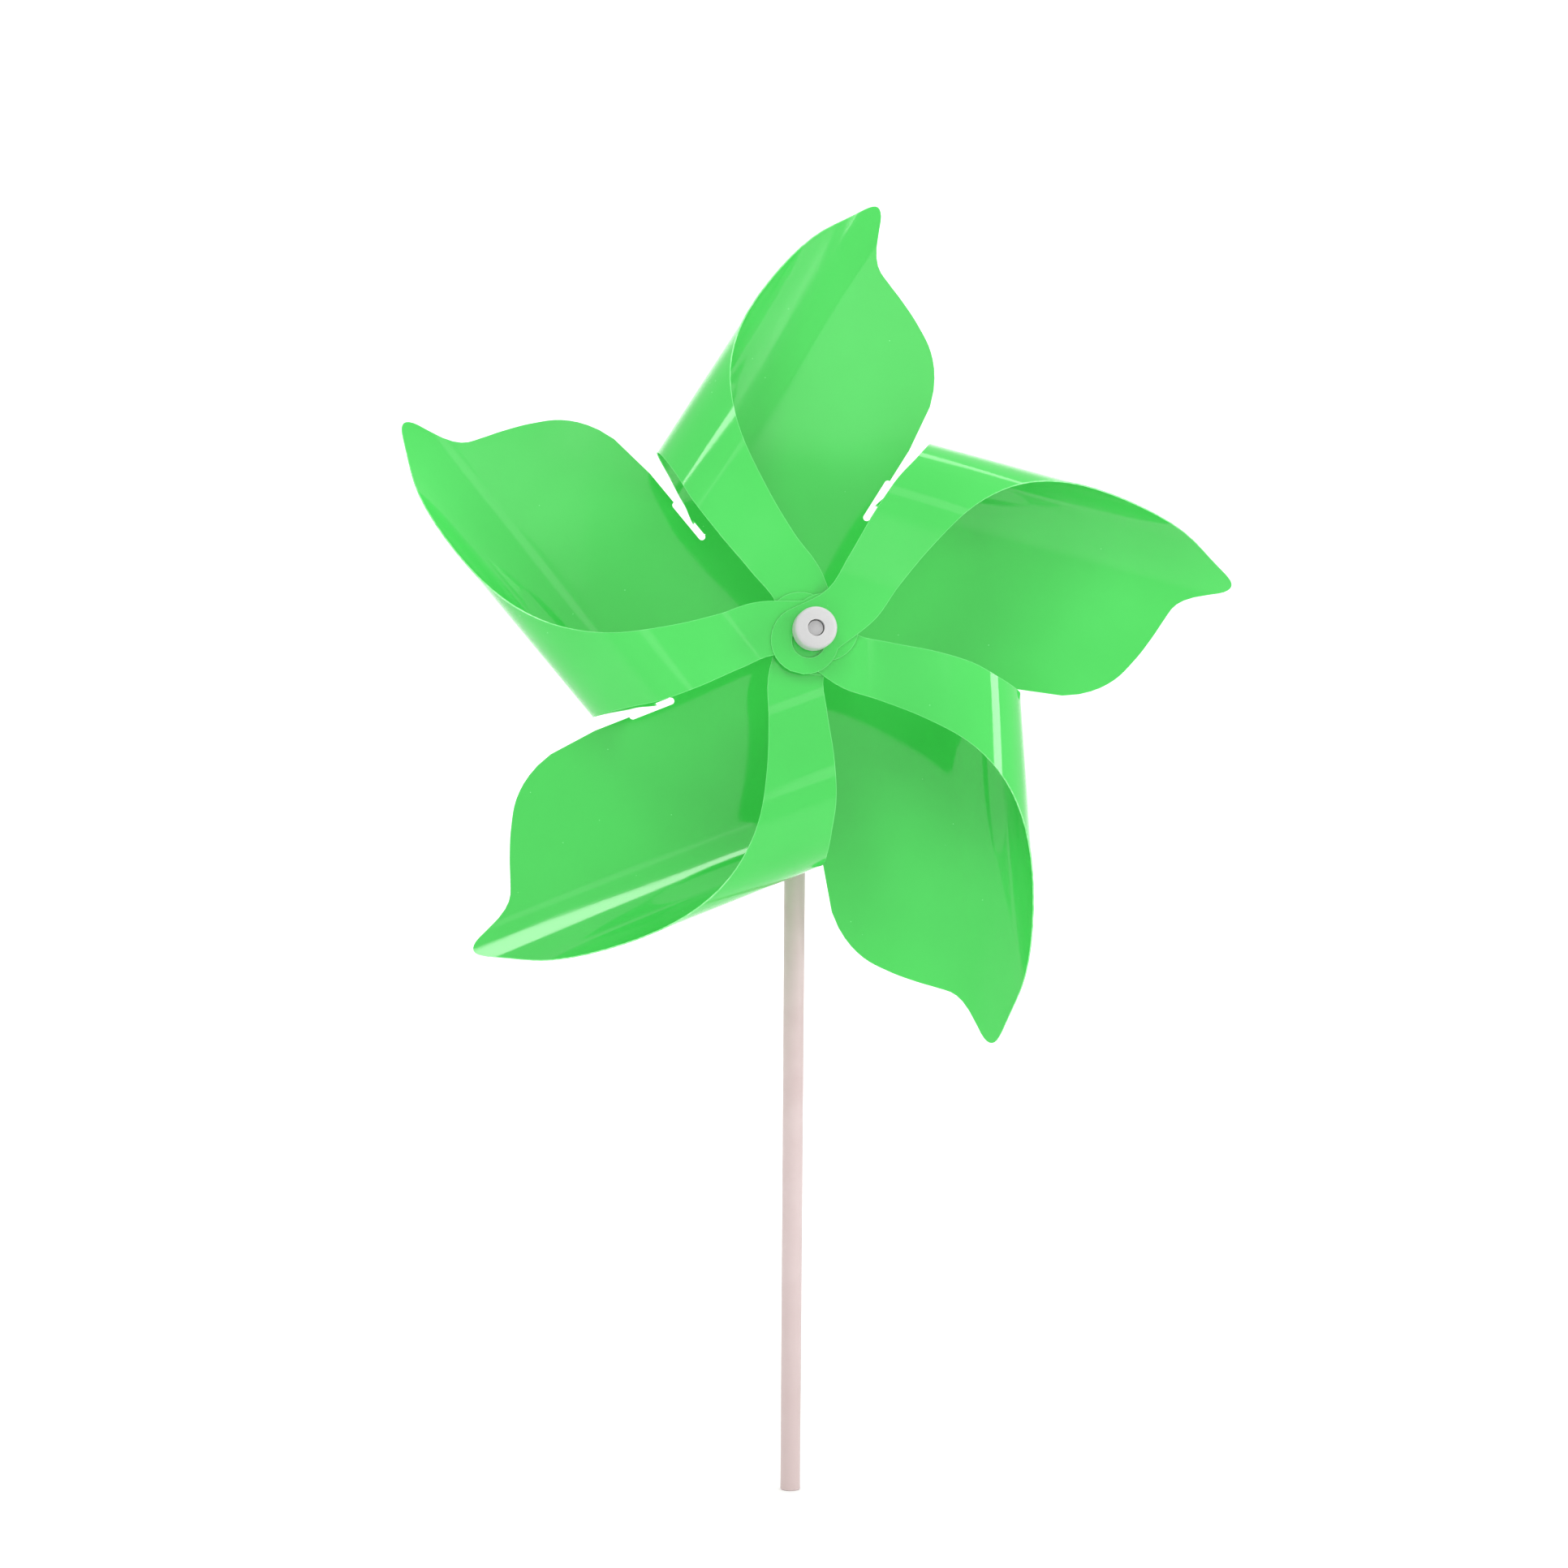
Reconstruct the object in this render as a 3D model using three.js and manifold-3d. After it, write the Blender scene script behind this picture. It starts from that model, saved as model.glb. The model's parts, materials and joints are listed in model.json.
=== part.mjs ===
// Pinwheel: a five-bladed wheel, die-cut and folded from one sheet of plastic film, on a moulded stick.
//
// Units are millimetres and +Z is up. The origin is the centre of the stick's flat foot, the stick runs
// along Z, and the wheel faces -Y. Places along the axle are given as distances in front of the stick's
// centre line. The sheet is described flat first. Each blade has its own coordinates in the flat blank:
// `along` is the distance from the axle in the direction of its fold lines, and `across` is the distance
// from the axle at right angles to them, which is the way the blade is folded forwards.

import * as THREE from 'three';
import { mergeVertices } from 'three/addons/utils/BufferGeometryUtils.js';
import Module from 'manifold-3d';

const wasm = await Module();
wasm.setup();

// ---------------------------------------------------------------- fits
const GAP = 0.3; // between faces that sit against each other
const PRESS_GAP = 0.15; // on the radius, where one piece is pushed into another
const RUNNING_GAP = 0.25; // on the radius, where the wheel turns on its pin

// ---------------------------------------------------------------- stick
const AXLE_HEIGHT = 250; // axle line above the foot
const FOOT_DIAMETER = 5.8;
const STICK_TOP_DIAMETER = 6.4;
const FOOT_CHAMFER = 0.3;
const SHOULDER_BELOW_AXLE = 17; // where the stick steps down to its spigot
const SPIGOT_DIAMETER = 4;
const SPIGOT_LENGTH = 10;

// ---------------------------------------------------------------- axle holder on top of the stick
const HOLDER_WALL = 2.1; // round the spigot
const SKIRT_WALL = 1.2; // thinner collar at the bottom, level with the stick
const SKIRT_LENGTH = 3;
const DOME_ABOVE_AXLE = 5; // top of the rounded head
const BOSS_DIAMETER = 7.6; // round pad that carries the pin
const BOSS_REACH = 5.4;
const PIN_END_WALL = 1.5; // left behind the pin in the holder

// ---------------------------------------------------------------- pin, washer, spacer and cap
const PIN_DIAMETER = 2.4;
const PIN_HEAD_DIAMETER = 4.2;
const PIN_HEAD_THICKNESS = 1.2;
const PIN_HEAD_SINK = 1.9; // the head lies this deep in the cap's recess

const WASHER_DIAMETER = 9;
const WASHER_THICKNESS = 1.4;

const SPACER_WALL = 1.15;
const SPACER_LENGTH = 30.2; // keeps the tabs away from the back of the sheet

const CAP_DIAMETER = 12;
const CAP_LENGTH = 8;
const CAP_ROUNDING = 1.1;
const CAP_REAR_CHAMFER = 0.4;
const CAP_RECESS_PLAY = 0.3; // round the pin's head

// ---------------------------------------------------------------- sheet
const BLADES = 5;
const BLADE_PITCH = (2 * Math.PI) / BLADES;
const FIRST_BLADE_ANGLE = THREE.MathUtils.degToRad(58.3); // fold lines of blade 0, from +X towards +Z
const SHEET_THICKNESS = 0.4;
const TAB_PITCH = SHEET_THICKNESS + GAP; // from one tab to the next along the axle
const TAB_ORDER = [1, 3, 0, 2, 4]; // place of each blade's tab in the stack, from the back

const SLOT_END_RADIUS = 42; // from the axle to the centre of a slot's round end
const SLOT_OFFSET = 2.6; // the slot runs beside the blade's own radius, this far across
const SLOT_WIDTH = 2;
const SLOT_LENGTH = 12;
const SLOT_PLAY = 0.1; // between the slot's side and the strip's edge

// The fold in side view: flat at the back, round the nose, over the crown and down to the tab.
const NOSE_REACH = [63.5, 61.5, 62, 59, 61.5]; // about how far each blade's fold stands out from the axle
const BACK_LEAD = 4.5; // these place the fold curve's handles
const BACK_HANDLE_BEYOND_NOSE = 7;
const NOSE_HANDLE_BEYOND_NOSE = 21;
const NOSE_HANDLE_LIFT = 31;
const CROWN_HANDLE_WITHIN_NOSE = 14;
const CROWN_HANDLE_LIFT = 58;
const TAB_HANDLE_WITHIN_NOSE = 27;
const FLAT_TAB = 14; // flat round the axle, so that the stacked tabs stay clear of each other

// Free edge of a blade's petal, as [across, along]: up the slot's side and round the flame-shaped tip.
const PETAL_EDGE = [
  [SLOT_OFFSET - SLOT_PLAY, 66], [3.2, 76], [6.2, 86], [12, 94],
  [20, 99.2], [28, 102.8], [34.5, 105.2], [39, 107.2],
  [42.2, 110.8], [44.8, 116.2], [46.8, 120.6], [49, 122.4], [51.2, 121.2], [55, 115], [64, 100.5], [75, 75],
];
// The strip that leads on from the petal to the tab, as [share of the strip's length, along].
const STRIP_OUTER_EDGE = [[0.1, 60], [0.22, 46.3], [0.36, 35.3], [0.53, 27.2], [0.72, 20.6], [0.86, 16.4]];
const STRIP_INNER_EDGE = [[0.1, 19.8], [0.22, 16.6], [0.34, 12], [0.49, 8], [0.66, 4.6], [0.8, 1]];
// Edge beside the next blade's petal, as [across, along].
const NECK_EDGE = [[50.7, 15.6], [61, 19.6], [72, 21]];
const ROOT_ALONG = 38; // the blade's corner by its own slot, inside the round back
const TIP_SPAN = [43, 54]; // stretch across the blade that holds the tip

const TAB_HOLE_RADIUS = 4.8;
const TAB_WALL = 4.9; // round the hole
const TAB_SIDE = -1.5; // place of the tab's centre along the fold lines
const TAB_HOLE_SIDE = -0.4; // and of its hole
const TAB_PLAY = 0.28; // each loose tab is pulled in until its hole stands this close to the pin
const SHEET_BORE_PLAY = 0.5; // round the pin, in the back of the sheet

const ROUND = 40; // sides of the turned pieces
const PETAL_STEPS = 24; // across a blade, from its slot towards the tip
const TIP_STEPS = 14; // round the tip
const FOLD_STEPS = 40; // from the tip to the tab
const TAB_STEPS = 12; // round the tab
const WIDTH_STEPS = 2;

// ---------------------------------------------------------------- places along the axle
const WASHER_BACK = BOSS_REACH + GAP;
const SHEET_MIDDLE = WASHER_BACK + WASHER_THICKNESS + GAP + SHEET_THICKNESS / 2;
const SPACER_BACK = SHEET_MIDDLE + SHEET_THICKNESS / 2 + GAP;
const FIRST_TAB_LEVEL = SHEET_THICKNESS + 2 * GAP + SPACER_LENGTH; // above the back of the sheet
const LAST_TAB_FRONT = SHEET_MIDDLE + FIRST_TAB_LEVEL + (BLADES - 1) * TAB_PITCH + SHEET_THICKNESS / 2;
const CAP_BACK = LAST_TAB_FRONT + GAP;
const CAP_FRONT = CAP_BACK + CAP_LENGTH;
const PIN_FRONT = CAP_FRONT - PIN_HEAD_SINK;
const RECESS_FLOOR = PIN_FRONT - PIN_HEAD_THICKNESS - GAP;
const HOLDER_RADIUS = SPIGOT_DIAMETER / 2 + HOLDER_WALL;
const PIN_END = PIN_END_WALL - HOLDER_RADIUS;

// ---------------------------------------------------------------- tabs round the pin
const TAB_RADIUS = TAB_HOLE_RADIUS + TAB_WALL;
const TAB_PULL = TAB_HOLE_RADIUS - PIN_DIAMETER / 2 - TAB_PLAY; // from the axle to the centre of a tab's hole
const TAB_SLIP = Math.sqrt(TAB_PULL ** 2 - TAB_HOLE_SIDE ** 2); // the part of it across the fold lines

// ---------------------------------------------------------------- materials
function finish(color, roughness) {
  return new THREE.MeshStandardMaterial({ color, roughness, metalness: 0 });
}
const STICK_COLOR = 0xd3cecd;
const CAP_COLOR = 0xdcdcdc;
const PIN_COLOR = 0xbdbdbd;
const FILM_COLOR = 0x50d261;

// ---------------------------------------------------------------- solids
function toSolid(geometry) {
  const bare = geometry.clone();
  bare.deleteAttribute('normal');
  bare.deleteAttribute('uv');
  const merged = mergeVertices(bare, 1e-4);
  const positions = merged.attributes.position.array;
  const triangles = new Uint32Array(merged.index.array);
  return new wasm.Manifold(new wasm.Mesh({ numProp: 3, vertProperties: positions, triVerts: triangles }));
}

function toGeometry(solid) {
  const mesh = solid.getMesh();
  const geometry = new THREE.BufferGeometry();
  geometry.setAttribute('position', new THREE.BufferAttribute(mesh.vertProperties, 3));
  geometry.setIndex(new THREE.BufferAttribute(mesh.triVerts, 1));
  geometry.computeVertexNormals();
  return geometry;
}

// A turned solid about Z from [radius, height] pairs listed from the bottom up.
function turned(profile) {
  const outline = profile.map(([radius, height]) => new THREE.Vector2(radius, height));
  return new THREE.LatheGeometry(outline, ROUND).rotateX(Math.PI / 2);
}

// The same about the axle, with distances in front of the stick in place of heights.
function turnedOnAxle(profile) {
  return turned(profile).rotateX(Math.PI / 2).translate(0, 0, AXLE_HEIGHT);
}

function rod(radius, from, to) {
  return [[0, from], [radius, from], [radius, to], [0, to]];
}

function tube(radius, boreRadius, from, to) {
  return [[boreRadius, from], [radius, from], [radius, to], [boreRadius, to], [boreRadius, from]];
}

// ---------------------------------------------------------------- stick
function stick() {
  const foot = FOOT_DIAMETER / 2;
  const shoulder = AXLE_HEIGHT - SHOULDER_BELOW_AXLE;
  const spigot = SPIGOT_DIAMETER / 2;
  return turned([
    [0, 0], [foot - FOOT_CHAMFER, 0], [foot, FOOT_CHAMFER],
    [STICK_TOP_DIAMETER / 2, shoulder], [spigot, shoulder],
    [spigot, shoulder + SPIGOT_LENGTH], [0, shoulder + SPIGOT_LENGTH],
  ]);
}

// ---------------------------------------------------------------- axle holder
function holderBody() {
  const bottom = AXLE_HEIGHT - SHOULDER_BELOW_AXLE + GAP;
  const skirt = SPIGOT_DIAMETER / 2 + PRESS_GAP + SKIRT_WALL;
  const domeStart = AXLE_HEIGHT + DOME_ABOVE_AXLE - HOLDER_RADIUS;
  const dome = [0, 0.25, 0.5, 0.75, 1].map((share) => {
    const angle = (share * Math.PI) / 2;
    return [HOLDER_RADIUS * Math.cos(angle), domeStart + HOLDER_RADIUS * Math.sin(angle)];
  });
  return turned([
    [0, bottom], [skirt, bottom], [skirt, bottom + SKIRT_LENGTH],
    [HOLDER_RADIUS, bottom + SKIRT_LENGTH + HOLDER_RADIUS - skirt],
    ...dome.slice(0, -1), [0, domeStart + HOLDER_RADIUS],
  ]);
}

function axleHolder() {
  const shoulder = AXLE_HEIGHT - SHOULDER_BELOW_AXLE;
  const socketTop = shoulder + SPIGOT_LENGTH + GAP;
  const socket = turned(rod(SPIGOT_DIAMETER / 2 + PRESS_GAP, shoulder - GAP, socketTop));
  const boss = turnedOnAxle(rod(BOSS_DIAMETER / 2, 0, BOSS_REACH));
  const bore = turnedOnAxle(rod(PIN_DIAMETER / 2 + PRESS_GAP, PIN_END - GAP, BOSS_REACH + GAP));
  const solid = toSolid(holderBody()).add(toSolid(boss)).subtract(toSolid(socket)).subtract(toSolid(bore));
  return toGeometry(solid);
}

// ---------------------------------------------------------------- pieces on the axle
function axlePin() {
  const shank = PIN_DIAMETER / 2;
  const head = PIN_HEAD_DIAMETER / 2;
  const headBack = PIN_FRONT - PIN_HEAD_THICKNESS;
  return turnedOnAxle([
    [0, PIN_END], [shank, PIN_END], [shank, headBack],
    [head, headBack], [head, PIN_FRONT], [0, PIN_FRONT],
  ]);
}

function rearWasher() {
  return turnedOnAxle(
    tube(WASHER_DIAMETER / 2, PIN_DIAMETER / 2 + PRESS_GAP, WASHER_BACK, WASHER_BACK + WASHER_THICKNESS),
  );
}

function spacerTube() {
  const bore = PIN_DIAMETER / 2 + RUNNING_GAP;
  return turnedOnAxle(tube(bore + SPACER_WALL, bore, SPACER_BACK, SPACER_BACK + SPACER_LENGTH));
}

function hubCap() {
  const radius = CAP_DIAMETER / 2;
  const bore = PIN_DIAMETER / 2 + PRESS_GAP;
  const recess = PIN_HEAD_DIAMETER / 2 + CAP_RECESS_PLAY;
  const rim = [0, 1, 2, 3, 4].map((step) => {
    const angle = (step * Math.PI) / 8;
    const inwards = CAP_ROUNDING * (1 - Math.cos(angle));
    return [radius - inwards, CAP_FRONT - CAP_ROUNDING * (1 - Math.sin(angle))];
  });
  return turnedOnAxle([
    [bore, CAP_BACK], [radius - CAP_REAR_CHAMFER, CAP_BACK], [radius, CAP_BACK + CAP_REAR_CHAMFER],
    ...rim, [recess, CAP_FRONT], [recess, RECESS_FLOOR], [bore, RECESS_FLOOR], [bore, CAP_BACK],
  ]);
}

// ---------------------------------------------------------------- wheel sheet
// Side view of a blade's fold, as a Bezier curve from the end of the flat back to the start of the flat
// tab: x is the distance across from the axle, and y is the height in front of the back of the sheet.
class FoldCurve extends THREE.Curve {
  constructor(noseReach, tabLevel) {
    super();
    this.arcLengthDivisions = 400;
    this.handles = [
      [SLOT_END_RADIUS, 0],
      [SLOT_END_RADIUS + BACK_LEAD, 0],
      [noseReach + BACK_HANDLE_BEYOND_NOSE, 0],
      [noseReach + NOSE_HANDLE_BEYOND_NOSE, NOSE_HANDLE_LIFT],
      [noseReach - CROWN_HANDLE_WITHIN_NOSE, CROWN_HANDLE_LIFT],
      [noseReach - TAB_HANDLE_WITHIN_NOSE, tabLevel],
      [FLAT_TAB, tabLevel],
    ].map(([x, y]) => new THREE.Vector2(x, y));
  }

  getPoint(t, target = new THREE.Vector2()) {
    let points = this.handles;
    while (points.length > 1) points = points.slice(1).map((point, i) => points[i].clone().lerp(point, t));
    return target.copy(points[0]);
  }
}

// Where the film goes as it is folded: its point and its forward normal, a given way across the blank.
class Fold {
  constructor(noseReach, tabLevel) {
    this.tabLevel = tabLevel;
    this.curve = new FoldCurve(noseReach, tabLevel);
    this.length = this.curve.getLength();
    this.tabCentre = SLOT_END_RADIUS + this.length + FLAT_TAB + TAB_SLIP;
  }

  at(across) {
    const onCurve = across - SLOT_END_RADIUS;
    if (onCurve <= 0) return { reach: across, lift: 0, normalReach: 0, normalLift: 1 };
    if (onCurve >= this.length) {
      const reach = FLAT_TAB - (onCurve - this.length);
      return { reach, lift: this.tabLevel, normalReach: 0, normalLift: -1 };
    }
    const share = onCurve / this.length;
    const point = this.curve.getPointAt(share);
    const tangent = this.curve.getTangentAt(share);
    return { reach: point.x, lift: point.y, normalReach: -tangent.y, normalLift: tangent.x };
  }
}

// A smooth edge through [across, along] points, read as along = edge(across).
function smoothEdge(points) {
  const slopes = points.map((point, i) => {
    const [before, after] = [points[Math.max(i - 1, 0)], points[Math.min(i + 1, points.length - 1)]];
    return (after[1] - before[1]) / (after[0] - before[0]);
  });
  return (across) => {
    const last = points.length - 2;
    const i = Math.min(Math.max(points.findIndex(([x]) => x > across) - 1, 0), last);
    const start = across >= points[last + 1][0] ? last : i;
    const [[x0, y0], [x1, y1]] = [points[start], points[start + 1]];
    const width = x1 - x0;
    const t = Math.min(Math.max((across - x0) / width, 0), 1);
    const bend = (slopes[start] * width * (1 - t) - slopes[start + 1] * width * t) * t * (1 - t);
    const rise = (y1 - y0) * t * t * (3 - 2 * t);
    return y0 + rise + bend;
  };
}

// The two long edges of one blade, as along = edge(across).
function bladeEdges(fold) {
  const [petalEnd] = PETAL_EDGE.at(-1);
  const [slotSide] = PETAL_EDGE[0];
  const onStrip = ([share, along]) => [petalEnd + share * (fold.tabCentre - petalEnd), along];
  const farSide = SLOT_OFFSET - SLOT_WIDTH / 2 - SLOT_PLAY;
  const neckStart = [
    SLOT_END_RADIUS * Math.sin(BLADE_PITCH) + farSide * Math.cos(BLADE_PITCH),
    SLOT_END_RADIUS * Math.cos(BLADE_PITCH) - farSide * Math.sin(BLADE_PITCH),
  ];
  const shoulder = TAB_RADIUS * Math.SQRT1_2;
  const tabStart = fold.tabCentre - shoulder;
  const strip = [...PETAL_EDGE, ...STRIP_OUTER_EDGE.map(onStrip), [fold.tabCentre, TAB_SIDE + TAB_RADIUS]];
  const neck = [[slotSide, ROOT_ALONG], neckStart, ...NECK_EDGE, ...STRIP_INNER_EDGE.map(onStrip)];
  const outerLine = smoothEdge(strip);
  const innerLine = smoothEdge([...neck, [tabStart, TAB_SIDE - shoulder]]);
  const halfTab = (across) => Math.sqrt(Math.max(TAB_RADIUS ** 2 - (across - fold.tabCentre) ** 2, 0));
  return {
    slotSide,
    tabStart,
    outer: (across) => (across > fold.tabCentre ? TAB_SIDE + halfTab(across) : outerLine(across)),
    inner: (across) => (across > tabStart ? TAB_SIDE - halfTab(across) : innerLine(across)),
  };
}

function spread(from, to, steps) {
  return Array.from({ length: steps }, (_, i) => from + ((to - from) * i) / steps);
}

// Places across the blade where the film is divided, closest round the tip and the tab.
function stations(fold, edges) {
  const [tipStart, tipEnd] = TIP_SPAN;
  const roundTab = spread(Math.PI / 4, Math.PI, TAB_STEPS);
  return [
    ...spread(edges.slotSide, tipStart, PETAL_STEPS),
    ...spread(tipStart, tipEnd, TIP_STEPS),
    ...spread(tipEnd, edges.tabStart, FOLD_STEPS),
    ...roundTab.map((angle) => fold.tabCentre - TAB_RADIUS * Math.cos(angle)),
  ];
}

// One blade: a flat bar of film, shaped to its outline and folded over. Its own X is along the fold lines,
// its Y is across them and its Z is forwards from the back of the sheet.
function blade(fold) {
  const edges = bladeEdges(fold);
  const across = stations(fold, edges);
  const bar = new THREE.BoxGeometry(1, 1, 1, WIDTH_STEPS, across.length - 1, 1);
  const corners = bar.attributes.position;
  for (let i = 0; i < corners.count; i += 1) {
    const station = across[Math.round((corners.getY(i) + 0.5) * (across.length - 1))];
    const along = THREE.MathUtils.lerp(edges.inner(station), edges.outer(station), corners.getX(i) + 0.5);
    const film = fold.at(station);
    const side = corners.getZ(i) * SHEET_THICKNESS;
    corners.setXYZ(i, along, film.reach + side * film.normalReach, film.lift + side * film.normalLift);
  }
  return bar;
}

// From a blade's own axes to its place on the wheel.
function placeBlade(geometry, index) {
  const turn = FIRST_BLADE_ANGLE + index * BLADE_PITCH;
  return geometry.rotateZ(turn).rotateX(Math.PI / 2).translate(0, -SHEET_MIDDLE, AXLE_HEIGHT);
}

// A round or round-ended hole through the film, in a blade's own axes.
function holeThrough(radius, length, along, across, level, depth) {
  const outline = new THREE.Shape();
  outline.absarc(along, across, radius, Math.PI / 2, (3 * Math.PI) / 2);
  outline.absarc(along + length, across, radius, -Math.PI / 2, Math.PI / 2);
  const hole = new THREE.ExtrudeGeometry(outline, { depth, bevelEnabled: false, curveSegments: ROUND / 2 });
  return hole.translate(0, 0, level - depth / 2);
}

function wheelSheet() {
  const half = SHEET_THICKNESS / 2;
  let sheet = toSolid(turnedOnAxle(rod(SLOT_END_RADIUS, SHEET_MIDDLE - half, SHEET_MIDDLE + half)));
  const bore = PIN_DIAMETER / 2 + SHEET_BORE_PLAY;
  const cuts = [turnedOnAxle(rod(bore, SHEET_MIDDLE - SHEET_THICKNESS, SHEET_MIDDLE + SHEET_THICKNESS))];
  TAB_ORDER.forEach((place, index) => {
    const fold = new Fold(NOSE_REACH[index], FIRST_TAB_LEVEL + place * TAB_PITCH);
    sheet = sheet.add(toSolid(placeBlade(blade(fold), index)));
    const tabHole = holeThrough(TAB_HOLE_RADIUS, 0, TAB_HOLE_SIDE, -TAB_SLIP, fold.tabLevel, TAB_PITCH);
    const slot = holeThrough(SLOT_WIDTH / 2, SLOT_LENGTH, SLOT_END_RADIUS, SLOT_OFFSET, 0, TAB_PITCH);
    cuts.push(placeBlade(tabHole, index), placeBlade(slot, index));
  });
  cuts.forEach((cut) => {
    sheet = sheet.subtract(toSolid(cut));
  });
  return toGeometry(sheet);
}

// ---------------------------------------------------------------- pinwheel
function piece(name, geometry, material) {
  const mesh = new THREE.Mesh(geometry, material);
  mesh.name = name;
  return mesh;
}

const pinwheel = new THREE.Group();
const wheel = new THREE.Group();
wheel.add(
  piece('wheel_sheet', wheelSheet(), finish(FILM_COLOR, 0.2)),
  piece('spacer_tube', spacerTube(), finish(CAP_COLOR, 0.45)),
);
pinwheel.add(
  piece('stick', stick(), finish(STICK_COLOR, 0.4)),
  piece('axle_holder', axleHolder(), finish(STICK_COLOR, 0.4)),
  piece('axle_pin', axlePin(), finish(PIN_COLOR, 0.4)),
  piece('rear_washer', rearWasher(), finish(CAP_COLOR, 0.45)),
  piece('hub_cap', hubCap(), finish(CAP_COLOR, 0.45)),
  wheel,
);

export default pinwheel;
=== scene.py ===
"""Pinwheel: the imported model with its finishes, a pale studio, soft light and a camera.

Lengths are in metres.
"""

import json
import math

import bmesh
import bpy
from mathutils import Matrix, Vector


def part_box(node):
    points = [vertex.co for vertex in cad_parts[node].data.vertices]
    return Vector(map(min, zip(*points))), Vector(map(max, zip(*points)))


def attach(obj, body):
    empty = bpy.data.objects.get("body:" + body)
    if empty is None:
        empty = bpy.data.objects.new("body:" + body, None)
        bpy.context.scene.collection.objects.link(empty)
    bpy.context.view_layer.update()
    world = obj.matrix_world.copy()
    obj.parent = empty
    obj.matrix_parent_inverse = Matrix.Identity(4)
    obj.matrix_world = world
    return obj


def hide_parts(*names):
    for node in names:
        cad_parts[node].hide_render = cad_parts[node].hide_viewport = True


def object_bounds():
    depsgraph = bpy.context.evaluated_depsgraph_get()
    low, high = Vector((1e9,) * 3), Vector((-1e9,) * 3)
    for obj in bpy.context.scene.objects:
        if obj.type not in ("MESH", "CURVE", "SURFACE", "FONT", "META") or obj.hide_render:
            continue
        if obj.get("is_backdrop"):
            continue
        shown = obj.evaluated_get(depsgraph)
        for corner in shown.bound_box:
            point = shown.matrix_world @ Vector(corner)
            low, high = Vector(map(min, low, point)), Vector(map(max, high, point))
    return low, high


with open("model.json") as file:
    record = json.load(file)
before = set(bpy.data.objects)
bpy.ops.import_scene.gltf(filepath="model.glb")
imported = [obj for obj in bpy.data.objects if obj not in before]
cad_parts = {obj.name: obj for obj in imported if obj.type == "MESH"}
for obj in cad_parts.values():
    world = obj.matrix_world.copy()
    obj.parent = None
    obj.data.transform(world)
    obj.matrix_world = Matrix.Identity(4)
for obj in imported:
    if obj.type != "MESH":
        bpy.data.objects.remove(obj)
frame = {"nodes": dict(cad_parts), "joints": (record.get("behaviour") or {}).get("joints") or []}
CAD_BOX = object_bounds()
NODES = frame["nodes"]

# ---------------------------------------------------------------- places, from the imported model
HUB_HEIGHT = frame["joints"][0]["pos_m"][2]
SHEET_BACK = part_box("wheel_sheet")[1].y  # the back face of the film, behind the wheel
FILM_THICKNESS = 0.0004
HUB = Vector((0, SHEET_BACK - FILM_THICKNESS / 2, HUB_HEIGHT))  # on the axle, inside the film

# ---------------------------------------------------------------- camera
CAMERA_TURN = math.radians(6.19)  # from straight ahead, about the upright
CAMERA_RISE = math.radians(2.28)  # it looks up by this much
CAMERA_ROLL = math.radians(0.43)
CAMERA_DISTANCE = 0.8  # from the hub, along the line of sight
CAMERA_NEAR = 0.05
SENSOR_WIDTH = 36  # mm
FRAME_WIDTH = 0.46368  # of the picture, at the hub's distance
HUB_RIGHT = 0.0045  # place of the hub, from the middle of the picture, at the hub's distance
HUB_UP = 0.04225


def add_camera():
    """Looks along the turned and raised line of sight, with the hub off the picture's middle."""
    turn, rise, roll = CAMERA_TURN, CAMERA_RISE, CAMERA_ROLL
    level_right = Vector((math.cos(turn), -math.sin(turn), 0))
    back = Vector((-math.sin(turn) * math.cos(rise), -math.cos(turn) * math.cos(rise), -math.sin(rise)))
    level_up = back.cross(level_right)
    right = level_right * math.cos(roll) + level_up * math.sin(roll)
    up = level_up * math.cos(roll) - level_right * math.sin(roll)
    place = HUB - HUB_RIGHT * right - HUB_UP * up + CAMERA_DISTANCE * back
    data = bpy.data.cameras.new("camera")
    data.sensor_width = SENSOR_WIDTH
    data.lens = SENSOR_WIDTH * CAMERA_DISTANCE / FRAME_WIDTH
    data.clip_start = CAMERA_NEAR
    camera = bpy.data.objects.new("camera", data)
    bpy.context.scene.collection.objects.link(camera)
    axes = Matrix((right, up, back)).transposed()
    camera.matrix_world = Matrix.Translation(place) @ axes.to_4x4()
    bpy.context.scene.camera = camera


# ---------------------------------------------------------------- node trees
COLOR_MIX_INPUTS = (0, 6, 7)  # a Mix node's factor and its two colours, which share names with others
COLOR_MIX_OUTPUT = 2
BEVEL_SAMPLES = 4
NOISE_LOW = 0.3  # a noise mostly stays between these
NOISE_HIGH = 0.7


def linear(red, green, blue):
    """A colour given in sRGB steps of 0 to 255, as Blender's linear values."""
    steps = [value / 255 for value in (red, green, blue)]
    return tuple(s / 12.92 if s <= 0.04045 else ((s + 0.055) / 1.055) ** 2.4 for s in steps) + (1,)


def grey(value):
    """A grey, given as its linear value."""
    return (value, value, value, 1)


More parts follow.
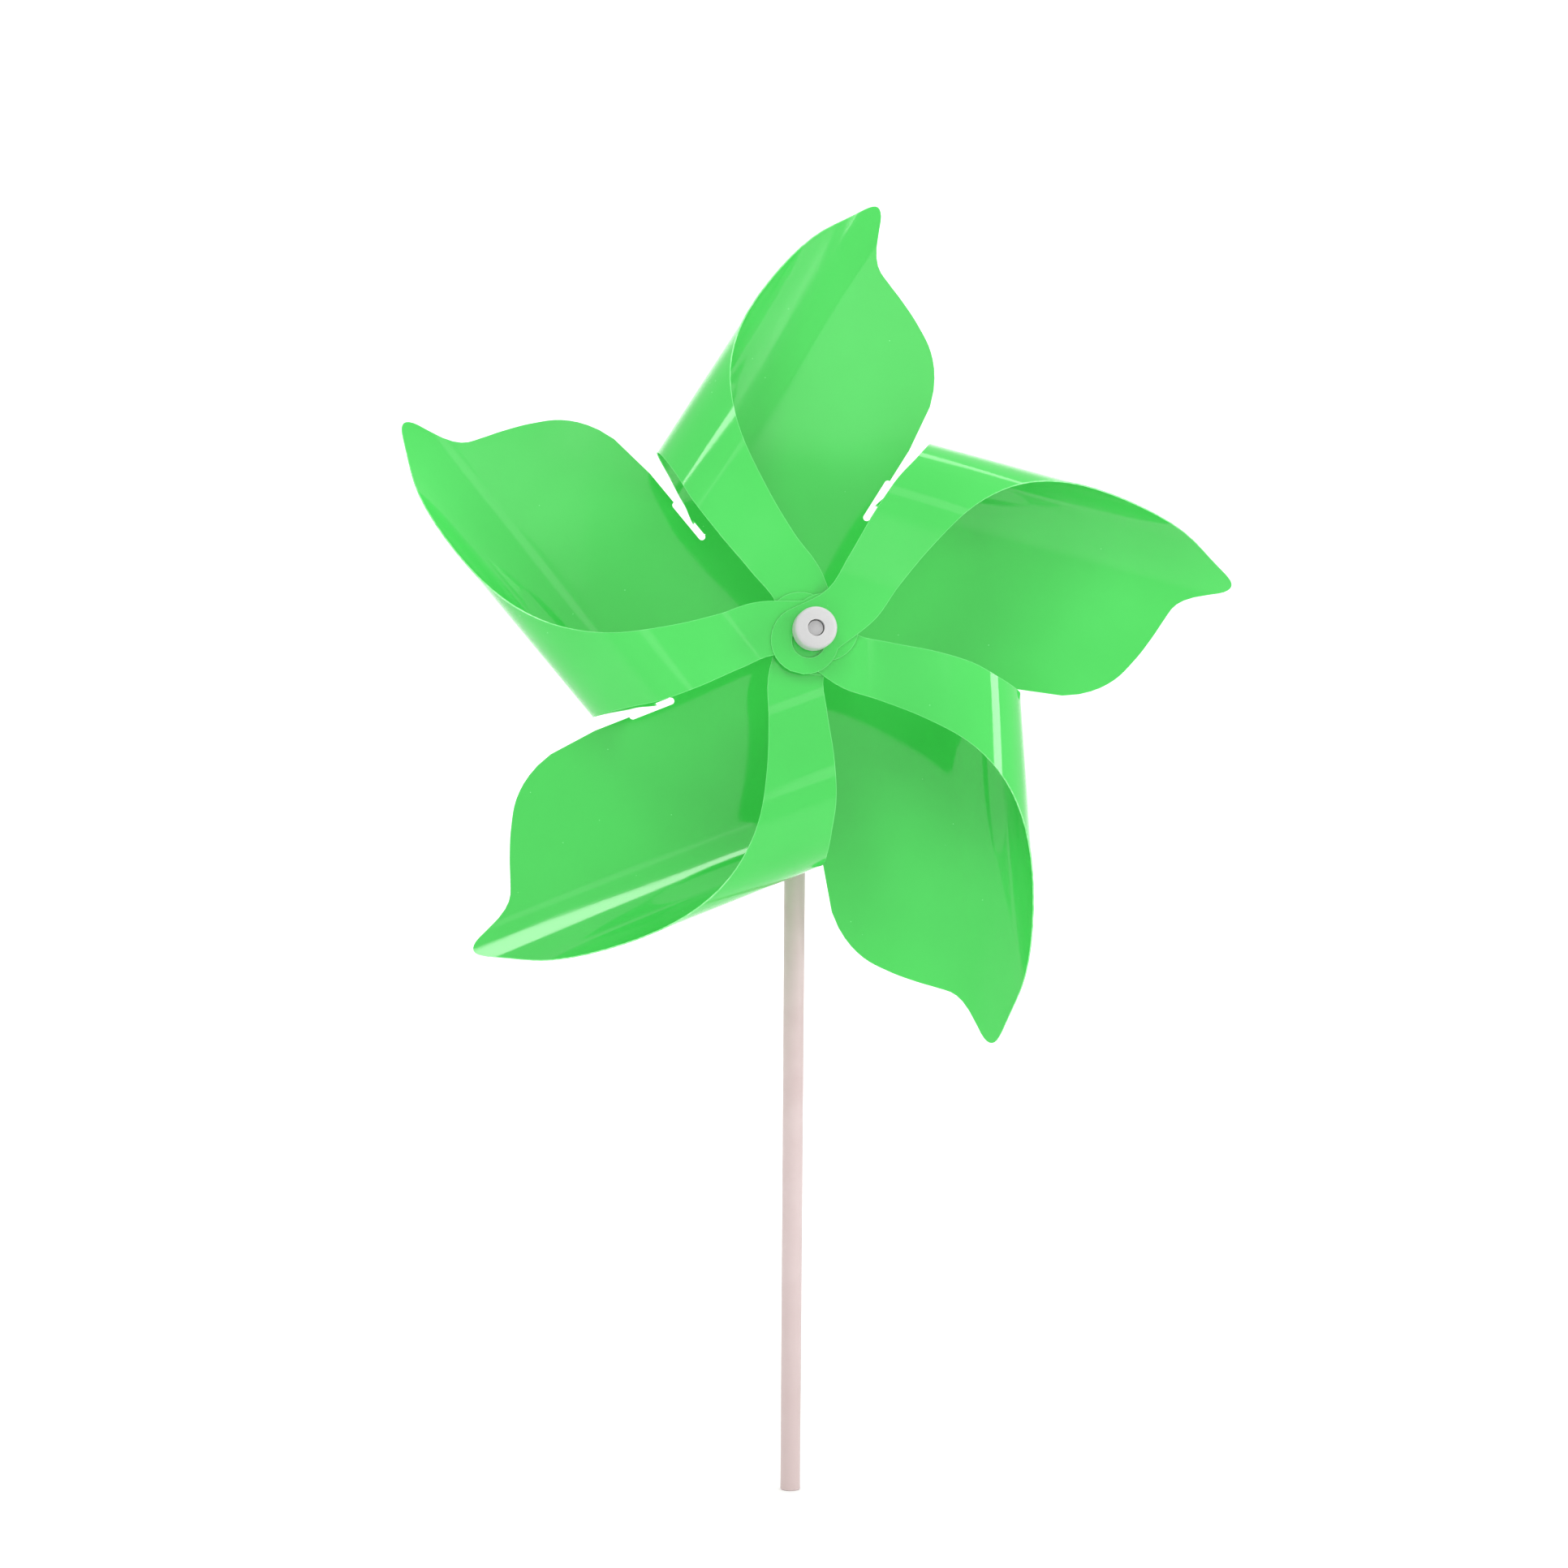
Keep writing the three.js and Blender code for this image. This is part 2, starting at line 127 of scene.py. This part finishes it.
class Finish:
    """A material, with short ways to add the nodes used here."""

    def __init__(self, name):
        self.material = bpy.data.materials.new(name)
        self.material.use_nodes = True
        self.tree = self.material.node_tree
        self.shader = self.tree.nodes["Principled BSDF"]
        self.place = self.tree.nodes.new("ShaderNodeTexCoord").outputs["Object"]

    def set(self, **values):
        """Constants on the shader's sockets, whose names have _ for a space here."""
        for name, value in values.items():
            self.shader.inputs[name.replace("_", " ")].default_value = value

    def link(self, output, name):
        """Drives one of the shader's sockets."""
        self.tree.links.new(output, self.shader.inputs[name])

    def height(self):
        """The height above the stick's foot."""
        node = self.tree.nodes.new("ShaderNodeSeparateXYZ")
        self.tree.links.new(self.place, node.inputs["Vector"])
        return node.outputs["Z"]

    def noise(self, scale, detail=2, stretch=(1, 1, 1)):
        """Soft mottling around 0.5, with scale patches to the metre."""
        mapping = self.tree.nodes.new("ShaderNodeMapping")
        mapping.inputs["Scale"].default_value = stretch
        node = self.tree.nodes.new("ShaderNodeTexNoise")
        node.inputs["Scale"].default_value = scale
        node.inputs["Detail"].default_value = detail
        self.tree.links.new(self.place, mapping.inputs["Vector"])
        self.tree.links.new(mapping.outputs["Vector"], node.inputs["Vector"])
        return node.outputs["Fac"]

    def specks(self, scale):
        """Distance from scattered points, for dust."""
        node = self.tree.nodes.new("ShaderNodeTexVoronoi")
        node.inputs["Scale"].default_value = scale
        self.tree.links.new(self.place, node.inputs["Vector"])
        return node.outputs["Distance"]

    def edge_wear_and_highlight(self, radius, most, start, end):
        """Most on an outer edge and 0 on a face, from how far the bevelled normal turns away."""
        bevel = self.tree.nodes.new("ShaderNodeBevel")
        bevel.samples = BEVEL_SAMPLES
        bevel.inputs["Radius"].default_value = radius
        geometry = self.tree.nodes.new("ShaderNodeNewGeometry")
        turned = self.tree.nodes.new("ShaderNodeVectorMath")
        turned.operation = "DOT_PRODUCT"
        self.tree.links.new(bevel.outputs["Normal"], turned.inputs[0])
        self.tree.links.new(geometry.outputs["Normal"], turned.inputs[1])
        return self.between(turned.outputs["Value"], low=most, high=0, start=start, end=end)

    def ramp(self, source, colors, start=NOISE_LOW, end=NOISE_HIGH):
        """The colours, spread evenly over the source from start to end."""
        node = self.tree.nodes.new("ShaderNodeValToRGB")
        elements = node.color_ramp.elements
        while len(elements) < len(colors):
            elements.new(0.5)
        step = (end - start) / (len(colors) - 1)
        for index, color in enumerate(colors):
            elements[index].position = start + step * index
            elements[index].color = color
        self.tree.links.new(source, node.inputs["Fac"])
        return node.outputs["Color"]

    def between(self, source, low, high, start=NOISE_LOW, end=NOISE_HIGH):
        """Source from start to end, spread over low to high."""
        node = self.tree.nodes.new("ShaderNodeMapRange")
        node.inputs["From Min"].default_value = start
        node.inputs["From Max"].default_value = end
        node.inputs["To Min"].default_value = low
        node.inputs["To Max"].default_value = high
        self.tree.links.new(source, node.inputs["Value"])
        return node.outputs["Result"]

    def mixed(self, share, first, second):
        """The first colour, with a share of the second."""
        node = self.tree.nodes.new("ShaderNodeMix")
        node.data_type = "RGBA"
        for socket, value in zip(COLOR_MIX_INPUTS, (share, first, second)):
            if hasattr(value, "is_linked"):
                self.tree.links.new(value, node.inputs[socket])
            else:
                node.inputs[socket].default_value = value
        return node.outputs[COLOR_MIX_OUTPUT]

    def bump(self, source, height, before=None):
        """Relief of this height, on top of an earlier one."""
        node = self.tree.nodes.new("ShaderNodeBump")
        node.inputs["Strength"].default_value = 1
        node.inputs["Distance"].default_value = height
        self.tree.links.new(source, node.inputs["Height"])
        if before:
            self.tree.links.new(before, node.inputs["Normal"])
        return node.outputs["Normal"]


# ---------------------------------------------------------------- finishes
FILM_TONES = (linear(61, 201, 79), linear(66, 207, 84), linear(73, 213, 91))
FILM_DUST = linear(120, 235, 136)
# painted highlight: the paler green of the film's outer edges, where light catches them
FILM_RIM_HIGHLIGHT = linear(140, 255, 155)
FILM_RIM_HIGHLIGHT_WIDTH = 0.00035
FILM_RIPPLE = 0.0011
FILM_GRAIN = 0.000004
# painted highlight: pale greens for the light caught on the film's cut edge
CUT_EDGE_HIGHLIGHT_TONES = (linear(120, 236, 132), linear(168, 255, 176))
CUT_EDGE_GRAIN = 0.00001
STICK_TONES = (linear(203, 181, 180), linear(216, 198, 197))
STICK_ROUGHNESS = (0.36, 0.5)
STICK_FOOT = linear(202, 182, 180)
STICK_FOOT_HEIGHT = 0.09  # the foot's tone has faded out at this height
HUB_TONES = (linear(196, 196, 196), linear(211, 211, 210))
HUB_ROUGHNESS = (0.34, 0.48)
PIN_TONES = (linear(204, 204, 204), linear(216, 216, 215))
PIN_ROUGHNESS = (0.39, 0.53)
WORN_TONE = linear(236, 235, 233)
WORN_WIDTH = 0.0004
MOULDED_FLOW = 0.00012
MOULDED_GRAIN = 0.00001
PAPER_TONES = (grey(0.93), grey(0.95))


def film():
    """Glossy dyed film: a slow drift of tone, a painted highlight along its outer edges, faint ripples, a
    fine haze and a little dust.
    """
    finish = Finish("film")
    tone = finish.ramp(finish.noise(scale=14, detail=3), FILM_TONES)
    dust = finish.ramp(finish.specks(scale=160), (grey(1), grey(0)), start=0.018, end=0.03)
    tone = finish.mixed(dust, tone, FILM_DUST)
    # painted highlight: the film's outer edges are paled for the light that catches them
    rim = finish.edge_wear_and_highlight(FILM_RIM_HIGHLIGHT_WIDTH, most=0.85, start=0.8, end=0.995)
    finish.link(finish.mixed(rim, tone, FILM_RIM_HIGHLIGHT), "Base Color")
    finish.link(finish.between(finish.noise(scale=60, detail=4), low=0.06, high=0.13), "Roughness")
    ripples = finish.bump(finish.noise(scale=16, detail=1), FILM_RIPPLE)
    finish.link(finish.bump(finish.noise(scale=900), FILM_GRAIN, ripples), "Normal")
    finish.set(Specular_IOR_Level=0.55, Coat_Weight=0.3, Coat_Roughness=0.05)
    return finish.material


def cut_edge_highlight():
    """The die-cut edge of the film, with a painted highlight: its pale colour stands in for the light that
    catches the edge and runs inside it.
    """
    finish = Finish("film_cut_edge_highlight")
    # painted highlight: the cut edge's pale tones stand in for the light on it
    tone = finish.ramp(finish.noise(scale=700, detail=3), CUT_EDGE_HIGHLIGHT_TONES, start=0.35, end=0.65)
    finish.link(tone, "Base Color")
    finish.link(finish.between(finish.noise(scale=1500), low=0.3, high=0.5), "Roughness")
    finish.link(finish.bump(finish.noise(scale=2500, stretch=(1, 1, 0.2)), CUT_EDGE_GRAIN), "Normal")
    return finish.material


def moulded(name, tones, roughness, foot=None):
    """Moulded plastic: mottled tone, paler worn edges and a fine pitted skin."""
    finish = Finish(name)
    tone = finish.ramp(finish.noise(scale=55, detail=4), tones)
    if foot:
        low = finish.between(finish.height(), low=1, high=0, start=0, end=STICK_FOOT_HEIGHT)
        tone = finish.mixed(low, tone, foot)
    worn = finish.edge_wear_and_highlight(WORN_WIDTH, most=0.6, start=0.8, end=0.99)
    finish.link(finish.mixed(worn, tone, WORN_TONE), "Base Color")
    finish.link(finish.between(finish.noise(scale=120, detail=3), *roughness), "Roughness")
    flow = finish.bump(finish.noise(scale=70, stretch=(1, 1, 0.25)), MOULDED_FLOW)
    finish.link(finish.bump(finish.noise(scale=2200), MOULDED_GRAIN, flow), "Normal")
    return finish.material


def paper():
    """Pale studio paper."""
    finish = Finish("paper")
    finish.link(finish.ramp(finish.noise(scale=3), PAPER_TONES), "Base Color")
    finish.set(Roughness=0.9, Specular_IOR_Level=0.1)
    return finish.material


# ---------------------------------------------------------------- pieces
WELD = 2e-6
SHORTEST_EDGE = 1e-6
CREASE = math.radians(32)
WIDEST_CUT_EDGE = 0.0006  # a smooth run of faces no wider than this is a cut edge
CUT_EDGE_INDEX = 1  # of the cut edge's material on the sheet


def smooth_copy(node):
    """The node's mesh welded and shaded smooth between its creases, as a new object."""
    mesh = NODES[node].data.copy()
    mesh.name = f"{node}_smooth"
    mesh.materials.clear()
    work = bmesh.new()
    work.from_mesh(mesh)
    bmesh.ops.remove_doubles(work, verts=work.verts, dist=WELD)
    bmesh.ops.dissolve_degenerate(work, edges=work.edges, dist=SHORTEST_EDGE)
    for face in work.faces:
        face.smooth = True
    for edge in work.edges:
        edge.smooth = len(edge.link_faces) == 2 and edge.calc_face_angle(0) < CREASE
    work.to_mesh(mesh)
    work.free()
    piece = bpy.data.objects.new(f"{node}_finished", mesh)
    bpy.context.scene.collection.objects.link(piece)
    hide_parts(node)
    return piece


def smooth_runs(work):
    """Groups of faces that join across smooth edges."""
    left = set(work.faces)
    while left:
        run, reach = [], [left.pop()]
        while reach:
            face = reach.pop()
            run.append(face)
            for edge in face.edges:
                for other in edge.link_faces if edge.smooth else ():
                    if other in left:
                        left.remove(other)
                        reach.append(other)
        yield run


def mark_cut_edges(piece):
    """Gives the sheet's narrow cut edges the second material."""
    work = bmesh.new()
    work.from_mesh(piece.data)
    for run in smooth_runs(work):
        area = sum(face.calc_area() for face in run)
        rim = sum(edge.calc_length() for face in run for edge in face.edges if not edge.smooth)
        if area < WIDEST_CUT_EDGE * rim / 2:
            for face in run:
                face.material_index = CUT_EDGE_INDEX
    work.to_mesh(piece.data)
    work.free()


def add_pieces():
    """A smooth piece for every node, on its body and with its slot's finish."""
    bodies = {"wheel_sheet": "wheel", "spacer_tube": "wheel"}
    slots = {
        "stick": "stick_plastic",
        "axle_holder": "stick_plastic",
        "axle_pin": "pin_plastic",
        "wheel_sheet": "green_film",
    }
    finishes = {
        "stick_plastic": moulded("stick_plastic", STICK_TONES, STICK_ROUGHNESS, foot=STICK_FOOT),
        "hub_plastic": moulded("hub_plastic", HUB_TONES, HUB_ROUGHNESS),
        "pin_plastic": moulded("pin_plastic", PIN_TONES, PIN_ROUGHNESS),
        "green_film": film(),
    }
    for node in sorted(NODES):
        piece = smooth_copy(node)
        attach(piece, bodies.get(node, "stand"))
        slots.get(node, "hub_plastic")
        piece.data.materials.append(finishes[slots.get(node, "hub_plastic")])
        if node == "wheel_sheet":
            piece.data.materials.append(cut_edge_highlight())
            mark_cut_edges(piece)


# ---------------------------------------------------------------- studio
FLOOR_HALF_WIDTH = 3
FLOOR_FRONT = -4
WALL_DISTANCE = 1.6  # to where the floor begins to sweep up
SWEEP_RADIUS = 0.8
SWEEP_STEPS = 16
WALL_HEIGHT = 4
WORLD_STRENGTH = 0.86
WALL_MIDDLE = (0, 2.4, 1.2)
LIGHTS = (  # name, place, what it is aimed at, width, height, watts
    ("key", (-0.55, -1.1, 1.25), HUB, 0.4, 0.6, 4.5),
    ("side", (1.25, -0.6, 0.5), HUB, 0.36, 0.8, 5),
    ("top", (0.1, 0.1, 1.5), HUB, 0.8, 0.6, 4),
    ("window_high", (0.16, -1.3, 0.64), HUB, 0.4, 0.22, 0.2),
    ("window_left", (-0.12, -1.3, 0.44), HUB, 0.2, 0.2, 0.07),
    ("wall", (0, 0.9, 1.8), WALL_MIDDLE, 3, 0.8, 34),
)


def add_floor():
    """A pale floor that sweeps up into a wall behind."""
    path = [(FLOOR_FRONT, 0)]
    for step in range(SWEEP_STEPS + 1):
        angle = step * math.pi / 2 / SWEEP_STEPS
        path.append((WALL_DISTANCE + SWEEP_RADIUS * math.sin(angle), SWEEP_RADIUS * (1 - math.cos(angle))))
    path.append((WALL_DISTANCE + SWEEP_RADIUS, WALL_HEIGHT))
    corners = [(side, y, z) for y, z in path for side in (-FLOOR_HALF_WIDTH, FLOOR_HALF_WIDTH)]
    faces = [(2 * i, 2 * i + 1, 2 * i + 3, 2 * i + 2) for i in range(len(path) - 1)]
    mesh = bpy.data.meshes.new("floor")
    mesh.from_pydata(corners, [], faces)
    for face in mesh.polygons:
        face.use_smooth = True
    mesh.materials.append(paper())
    floor = bpy.data.objects.new("floor", mesh)
    bpy.context.scene.collection.objects.link(floor)
    floor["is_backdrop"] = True


def add_light(name, place, target, width, height, power):
    """A soft rectangular light."""
    data = bpy.data.lights.new(name, "AREA")
    data.shape = "RECTANGLE"
    data.size = width
    data.size_y = height
    data.energy = power
    light = bpy.data.objects.new(name, data)
    bpy.context.scene.collection.objects.link(light)
    light.location = place
    light.rotation_euler = (Vector(target) - Vector(place)).to_track_quat("-Z", "Y").to_euler()


def add_lights():
    """White surroundings, the lights, and plain tones in the picture."""
    world = bpy.data.worlds.new("studio")
    world.use_nodes = True
    background = world.node_tree.nodes["Background"]
    background.inputs["Color"].default_value = grey(1)
    background.inputs["Strength"].default_value = WORLD_STRENGTH
    bpy.context.scene.world = world
    for row in LIGHTS:
        add_light(*row)
    bpy.context.scene.view_settings.view_transform = "Standard"


def write_sizes():
    """The CAD box and the visual model's box, gathered into a table that nothing keeps."""
    boxes = {"cad": CAD_BOX, "visual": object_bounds()}
    {name: [list(corner) for corner in box] for name, box in boxes.items()}


add_camera()
add_pieces()
add_floor()
add_lights()
write_sizes()
